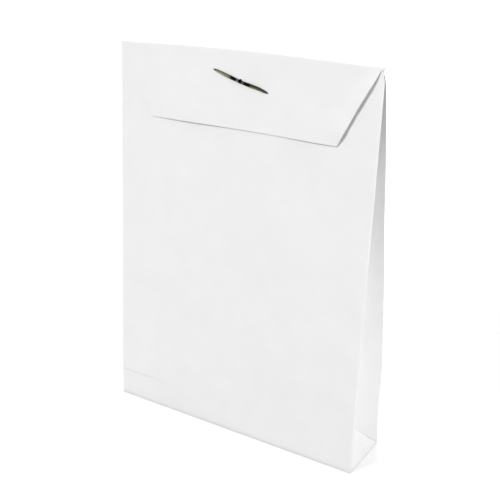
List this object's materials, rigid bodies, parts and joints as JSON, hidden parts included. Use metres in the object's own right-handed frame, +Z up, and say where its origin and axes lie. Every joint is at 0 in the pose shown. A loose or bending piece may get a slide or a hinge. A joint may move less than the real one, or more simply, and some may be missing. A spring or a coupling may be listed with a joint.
{
  "type": "gusseted envelope",
  "caption": "White paper envelope with pleated side gussets and a folding block base that stands open; a tapered flap folds over the front and is held by a split-pin clasp.",
  "frame": {"origin": "middle of the base, on the surface that the envelope stands on", "axes": "+Z up along the envelope, +X to the right across its width, -Y towards the front with the flap and clasp"},
  "size_m": [0.25, 0.055, 0.3405],
  "materials": {
    "white_paper": "smooth uncoated white paper",
    "clasp_brass": "olive-toned brass plating, slightly dulled"
  },
  "bodies": {
    "back": {"back_panel": "white_paper", "top_fold": "white_paper", "seam_lap": "white_paper", "left_gusset_rear": "white_paper", "right_gusset_rear": "white_paper"},
    "front": {"front_panel": "white_paper", "clasp_head": "clasp_brass", "left_gusset_front": "white_paper", "right_gusset_front": "white_paper"},
    "base_strip": {"front_base_strip": "white_paper"},
    "bottom": {"base_front_flap": "white_paper", "base_back_flap": "white_paper", "base_left_tuck": "white_paper", "base_right_tuck": "white_paper"},
    "left_foot": {"left_gusset_foot": "white_paper"},
    "right_foot": {"right_gusset_foot": "white_paper"},
    "flap": {"closing_flap": "white_paper"},
    "left_leg": {"clasp_left_leg": "clasp_brass"},
    "right_leg": {"clasp_right_leg": "clasp_brass"}
  },
  "joints": [
    {"name": "strip_fold", "type": "hinge", "parent": "front", "child": "base_strip", "pos_m": [0, -0.02548, 0.02745], "axis": [-1, 0, 0], "range_deg": [0, 180], "deforming": ["left_gusset_front", "left_gusset_rear", "right_gusset_front", "right_gusset_rear"]},
    {"name": "front_fold", "type": "hinge", "parent": "back", "child": "front", "pos_m": [0, 0, 0.33901], "axis": [1, 0, 0], "range_deg": [0, 8.84]},
    {"name": "base_fold", "type": "hinge", "parent": "base_strip", "child": "bottom", "pos_m": [0, -0.02672, 0.00165], "axis": [1, 0, 0], "range_deg": [0, 85.58]},
    {"name": "left_foot_fold", "type": "hinge", "parent": "bottom", "child": "left_foot", "pos_m": [-0.12455, 0, 0.0014], "axis": [0, 1, 0], "range_deg": [0, 67.77]},
    {"name": "right_foot_fold", "type": "hinge", "parent": "bottom", "child": "right_foot", "pos_m": [0.12455, 0, 0.0014], "axis": [0, -1, 0], "range_deg": [0, 67.77]},
    {"name": "flap_hinge", "type": "hinge", "parent": "front", "child": "flap", "pos_m": [0, -0.00022, 0.33901], "axis": [-1, 0, 0], "range_deg": [0, 180], "deforming": ["top_fold", "clasp_left_leg", "clasp_right_leg"]},
    {"name": "left_leg_bend", "type": "hinge", "parent": "front", "child": "left_leg", "pos_m": [-0.00077, -0.0038, 0.31766], "axis": [0.2706, 0.0742, 0.9598], "range_deg": [0, 90]},
    {"name": "right_leg_bend", "type": "hinge", "parent": "front", "child": "right_leg", "pos_m": [0.00077, -0.00384, 0.31723], "axis": [-0.2706, -0.0742, -0.9598], "range_deg": [0, 90]}
  ],
  "couplings": [
    {"joint": "front_fold", "follows": "strip_fold", "ratio": 0.049106},
    {"joint": "base_fold", "follows": "strip_fold", "ratio": 0.47545},
    {"joint": "left_foot_fold", "follows": "strip_fold", "ratio": 0.37652},
    {"joint": "right_foot_fold", "follows": "strip_fold", "ratio": 0.37652}
  ]
}
